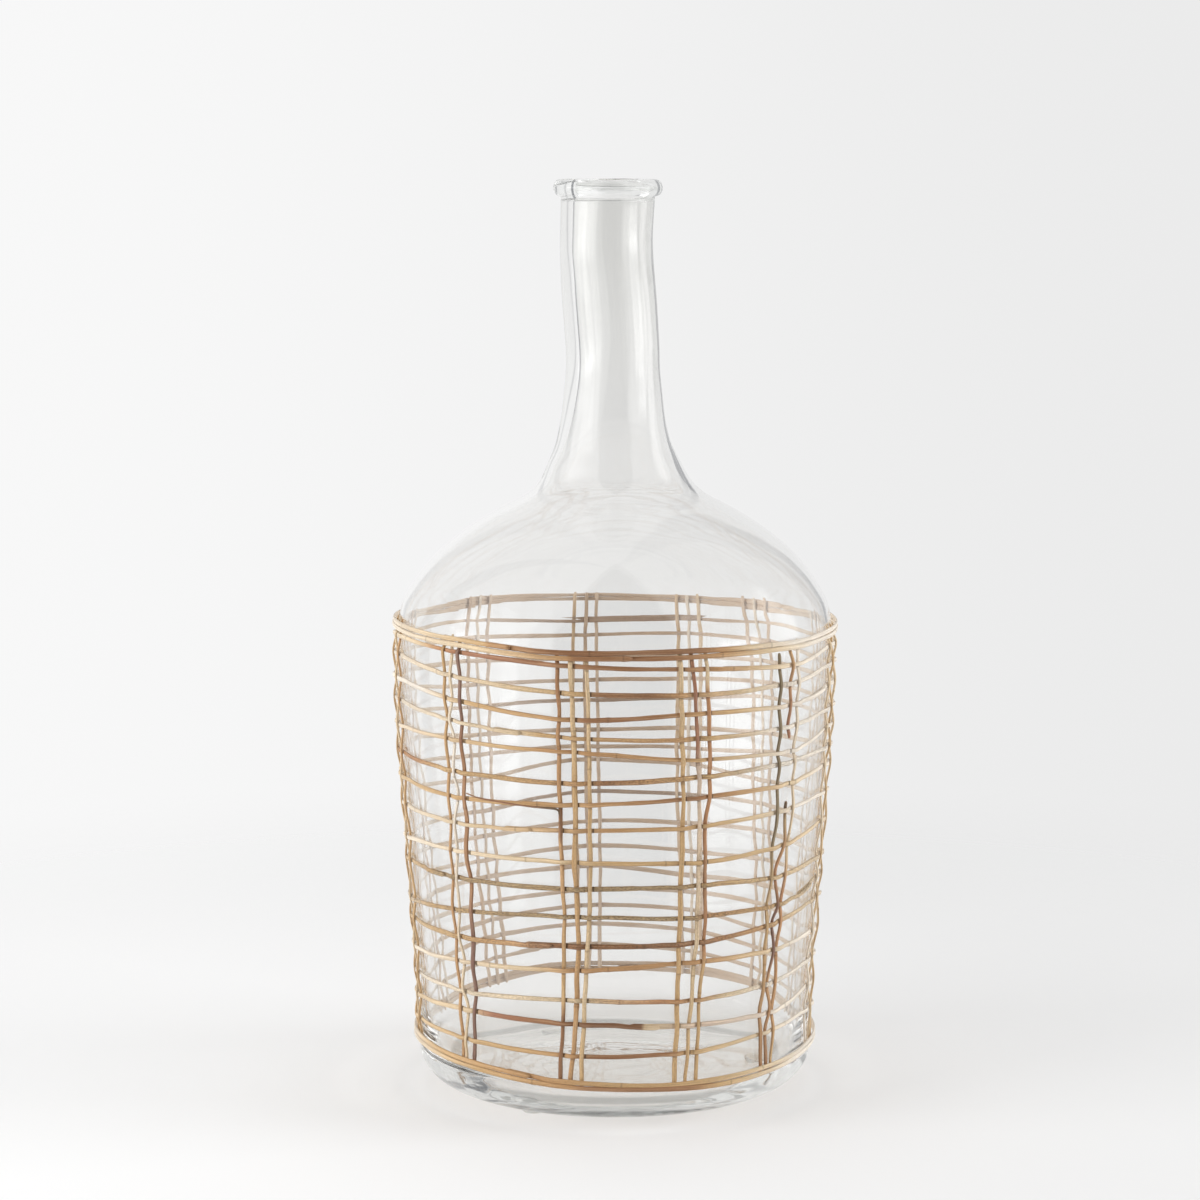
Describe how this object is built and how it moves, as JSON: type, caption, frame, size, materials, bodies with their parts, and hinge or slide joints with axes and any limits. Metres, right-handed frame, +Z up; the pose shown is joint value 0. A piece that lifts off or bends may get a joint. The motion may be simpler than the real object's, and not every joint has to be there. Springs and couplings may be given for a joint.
{
  "type": "rattan wrapped bottle",
  "caption": "Clear mouth-blown glass bottle with a long neck and rolled lip, its body held in an open woven grid of split rattan strands.",
  "frame": {"origin": "centre of the footprint on the floor, under the feet", "axes": "+Z up through the mouth, -Y towards the viewer in the picture"},
  "size_m": [0.2525, 0.253, 0.508],
  "materials": {
    "glass": "clear, polished, faintly wavy",
    "clear_foot": "clear, slightly yellowed, soft",
    "rattan_stake": "split rattan, varied brown, satin rind",
    "rattan_weaver": "split rattan, varied straw and brown, satin rind",
    "rattan_rim": "split rattan, pale straw, satin rind"
  },
  "bodies": {
    "root": {"glass_bottle": "glass", "bumper_foot_1": "clear_foot", "bumper_foot_2": "clear_foot", "bumper_foot_3": "clear_foot", "stake_01": "rattan_stake", "stake_02": "rattan_stake", "stake_03": "rattan_stake", "stake_04": "rattan_stake", "stake_05": "rattan_stake", "stake_06": "rattan_stake", "stake_07": "rattan_stake", "stake_08": "rattan_stake", "stake_09": "rattan_stake", "stake_10": "rattan_stake", "stake_11": "rattan_stake", "stake_12": "rattan_stake", "stake_13": "rattan_stake", "stake_14": "rattan_stake", "stake_15": "rattan_stake", "stake_16": "rattan_stake", "stake_17": "rattan_stake", "stake_18": "rattan_stake", "stake_19": "rattan_stake", "stake_20": "rattan_stake", "stake_21": "rattan_stake", "stake_22": "rattan_stake", "stake_23": "rattan_stake", "stake_24": "rattan_stake", "stake_25": "rattan_stake", "stake_26": "rattan_stake", "stake_27": "rattan_stake", "stake_28": "rattan_stake", "stake_29": "rattan_stake", "stake_30": "rattan_stake", "stake_31": "rattan_stake", "stake_32": "rattan_stake", "stake_33": "rattan_stake", "stake_34": "rattan_stake", "stake_35": "rattan_stake", "stake_36": "rattan_stake", "weaver_01": "rattan_weaver", "weaver_02": "rattan_weaver", "weaver_03": "rattan_weaver", "weaver_04": "rattan_weaver", "weaver_05": "rattan_weaver", "weaver_06": "rattan_weaver", "weaver_07": "rattan_weaver", "weaver_08": "rattan_weaver", "weaver_09": "rattan_weaver", "weaver_10": "rattan_weaver", "weaver_11": "rattan_weaver", "weaver_12": "rattan_weaver", "weaver_13": "rattan_weaver", "weaver_14": "rattan_weaver", "weaver_15": "rattan_weaver", "weaver_16": "rattan_weaver", "top_rim_upper": "rattan_rim", "top_rim_lower": "rattan_rim", "bottom_rim_upper": "rattan_rim", "bottom_rim_lower": "rattan_rim"}
  },
  "joints": []
}
